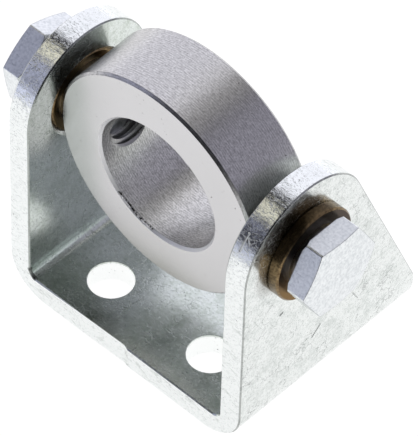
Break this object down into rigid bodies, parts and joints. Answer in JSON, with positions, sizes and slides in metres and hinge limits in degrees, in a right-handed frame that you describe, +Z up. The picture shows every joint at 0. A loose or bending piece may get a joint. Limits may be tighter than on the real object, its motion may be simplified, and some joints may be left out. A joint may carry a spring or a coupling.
{
  "type": "cylinder swivel mount",
  "caption": "Bent sheet clevis bracket whose two ears carry a round clamping ring on shoulder screws, so that a small pneumatic cylinder held by its nose can swivel.",
  "frame": {"origin": "on the underside of the base, straight below the swivel axis and midway between the ears", "axes": "+X along the swivel axis, +Y from the short to the long side of the base, +Z up from the base to the swivel axis"},
  "size_m": [0.0593, 0.037, 0.053],
  "materials": {
    "bracket": "zinc plated sheet, satin, sheared edges",
    "bush": "sintered bronze, dull brown",
    "ring": "turned steel, fine feed lines",
    "screw": "zinc plated, satin"
  },
  "bodies": {
    "bracket": {"bracket": "bracket", "bush_left": "bush", "bush_right": "bush"},
    "ring": {"swivel_ring": "ring", "pivot_screw_left": "screw", "pivot_screw_right": "screw"}
  },
  "joints": [
    {"name": "ring_swivel", "type": "hinge", "parent": "bracket", "child": "ring", "pos_m": [0, 0, 0.034], "axis": [1, 0, 0], "continuous": true}
  ]
}
